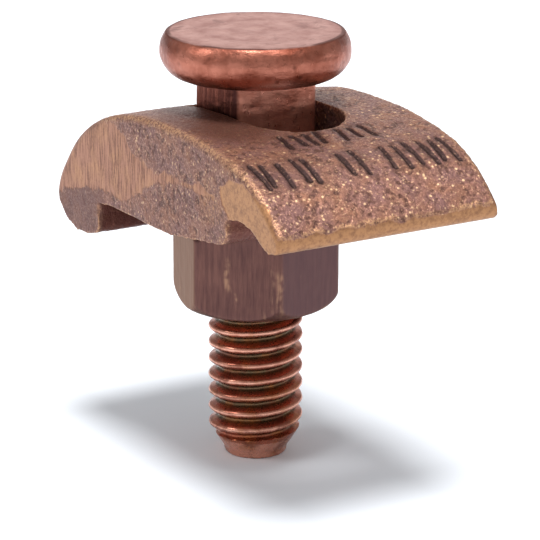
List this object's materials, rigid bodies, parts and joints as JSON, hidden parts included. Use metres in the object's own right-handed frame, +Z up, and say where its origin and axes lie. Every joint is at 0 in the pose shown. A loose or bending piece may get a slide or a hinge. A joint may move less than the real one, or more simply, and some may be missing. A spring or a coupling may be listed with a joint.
{
  "type": "ground clamp",
  "caption": "Arched bronze saddle on a round-headed copper stud with a square neck, held up by a hex nut: clamps earth cables to a flat bar.",
  "frame": {"origin": "middle of the stud's free end, at the bottom of the part", "axes": "+Z up along the stud towards its head; X along the saddle's barrel and its cable grooves; +Y towards the saddle's thick leg, and -Y towards its thin lip, which stands tipped up"},
  "size_m": [0.0204, 0.0364, 0.0362],
  "materials": {
    "stud": "bright headed copper, satin",
    "saddle": "sand-cast bronze, rough, with worn golden edges",
    "nut": "dark drawn bronze bar, streaked"
  },
  "bodies": {
    "stud": {"stud": "stud"},
    "saddle": {"saddle": "saddle"},
    "nut": {"nut": "nut"}
  },
  "joints": [
    {"name": "saddle_slide", "type": "slide", "parent": "stud", "child": "saddle", "axis": [0, 0, 1], "range_m": [-0.0105, 0.0021]},
    {"name": "nut_spin", "type": "hinge", "parent": "saddle", "child": "nut", "pos_m": [0, 0, 0.017], "axis": [0, 0, 1], "range_deg": [-2700, 540]}
  ],
  "couplings": [
    {"joint": "nut_spin", "follows": "saddle_slide", "rad_per_m": 4453}
  ]
}
